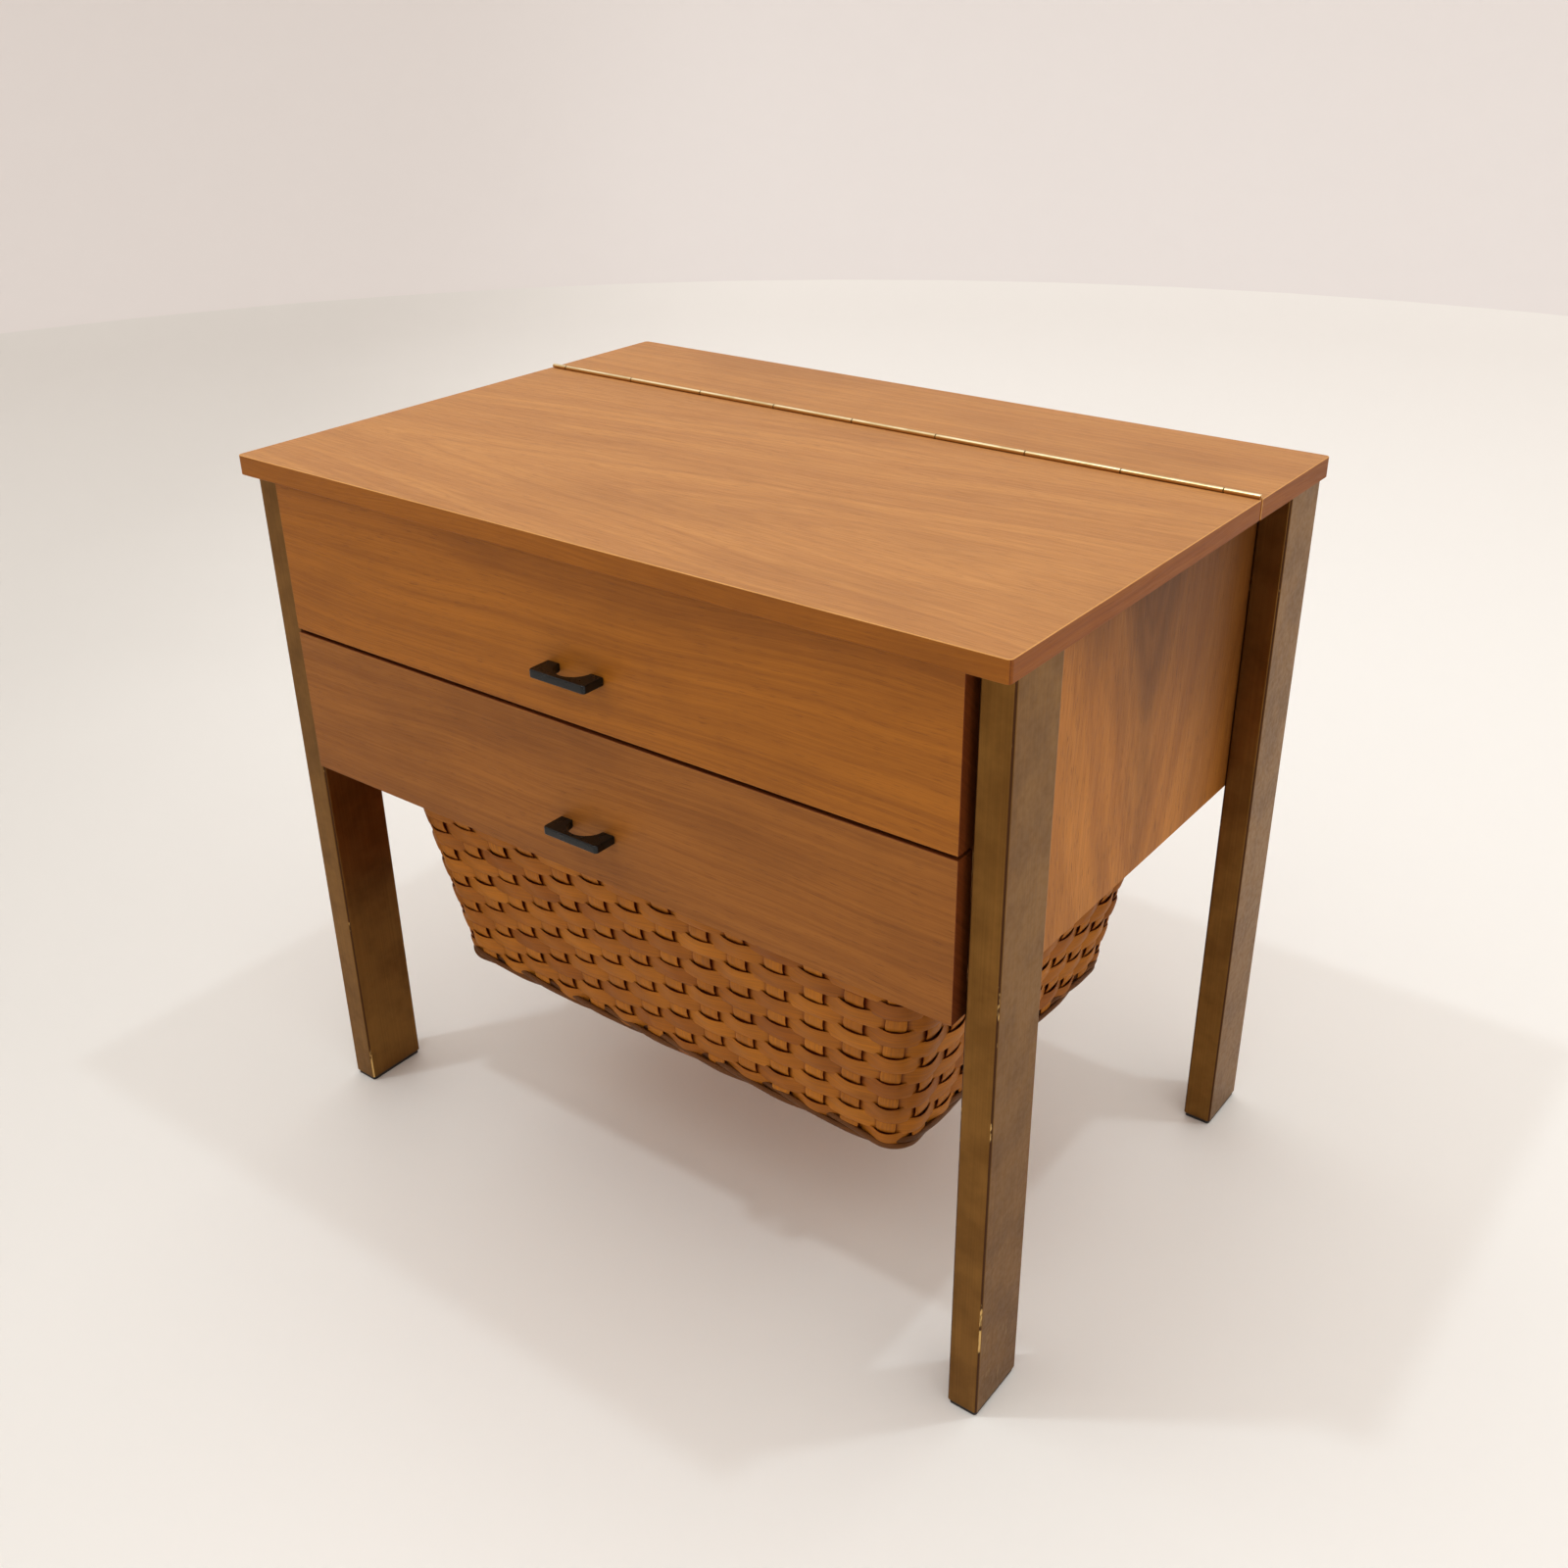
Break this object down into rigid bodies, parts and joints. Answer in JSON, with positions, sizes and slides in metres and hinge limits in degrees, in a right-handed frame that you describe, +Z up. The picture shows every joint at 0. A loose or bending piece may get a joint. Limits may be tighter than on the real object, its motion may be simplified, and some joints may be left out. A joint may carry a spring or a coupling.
{
  "type": "sewing table",
  "caption": "Sewing table with a hinged lid, a fitted drawer and a pull-out frame that carries a deep woven basket, on flat metal legs.",
  "frame": {"origin": "on the floor, under the middle of the overall box", "axes": "+X to the user's right across the front, -Y out of the front towards the user, +Z up"},
  "size_m": [0.6, 0.4264, 0.5269],
  "materials": {
    "veneer": "satin oiled walnut or teak veneer",
    "inner_wood": "plain sanded hardwood and plywood",
    "leg_metal": "satin bronze lacquer, worn at the edges",
    "glide_plastic": "moulded",
    "steel": "zinc plated",
    "hinge_brass": "bright, lightly worn",
    "handle_black": "satin black",
    "wicker": "woven flat splints, honey brown"
  },
  "bodies": {
    "case": {"side_panel_left": "veneer", "side_panel_right": "veneer", "back_panel": "veneer", "rear_top_strip": "veneer", "front_top_rail": "inner_wood", "front_middle_rail": "inner_wood", "rear_top_rail": "inner_wood", "runner_upper_left": "inner_wood", "runner_upper_right": "inner_wood", "runner_lower_left": "inner_wood", "runner_lower_right": "inner_wood", "runner_screws": "steel", "strip_screws": "steel", "leg_front_left": "leg_metal", "leg_front_right": "leg_metal", "leg_rear_left": "leg_metal", "leg_rear_right": "leg_metal", "leg_glide_front_left": "glide_plastic", "leg_glide_front_right": "glide_plastic", "leg_glide_rear_left": "glide_plastic", "leg_glide_rear_right": "glide_plastic", "leg_bolts_front_left": "steel", "leg_bolts_front_right": "steel", "leg_bolts_rear_left": "steel", "leg_bolts_rear_right": "steel", "leg_nuts_front_left": "steel", "leg_nuts_front_right": "steel", "leg_nuts_rear_left": "steel", "leg_nuts_rear_right": "steel", "hinge_leaf_rear": "hinge_brass", "hinge_pin": "hinge_brass", "hinge_screws_rear": "hinge_brass"},
    "lid": {"lid": "veneer", "hinge_leaf_lid": "hinge_brass", "hinge_screws_lid": "hinge_brass"},
    "upper_drawer": {"upper_drawer_front": "veneer", "upper_drawer_side_left": "inner_wood", "upper_drawer_side_right": "inner_wood", "upper_drawer_back": "inner_wood", "upper_drawer_bottom": "inner_wood", "upper_drawer_long_divider": "inner_wood", "upper_drawer_short_divider_1": "inner_wood", "upper_drawer_short_divider_2": "inner_wood", "upper_drawer_short_divider_3": "inner_wood", "upper_handle": "handle_black", "upper_handle_screws": "steel"},
    "basket_drawer": {"basket_drawer_front": "veneer", "basket_rail_left": "inner_wood", "basket_rail_right": "inner_wood", "basket_rail_back": "inner_wood", "basket_rail_front": "inner_wood", "basket": "wicker", "basket_rim": "wicker", "lower_handle": "handle_black", "lower_handle_screws": "steel"}
  },
  "joints": [
    {"name": "lid_hinge", "type": "hinge", "parent": "case", "child": "lid", "pos_m": [0, 0.10025, 0.5252], "axis": [-1, 0, 0], "range_deg": [0, 180]},
    {"name": "upper_drawer_slide", "type": "slide", "parent": "case", "child": "upper_drawer", "axis": [0, -1, 0], "range_m": [0, 0.27]},
    {"name": "basket_drawer_slide", "type": "slide", "parent": "case", "child": "basket_drawer", "axis": [0, -1, 0], "range_m": [0, 0.27]}
  ]
}
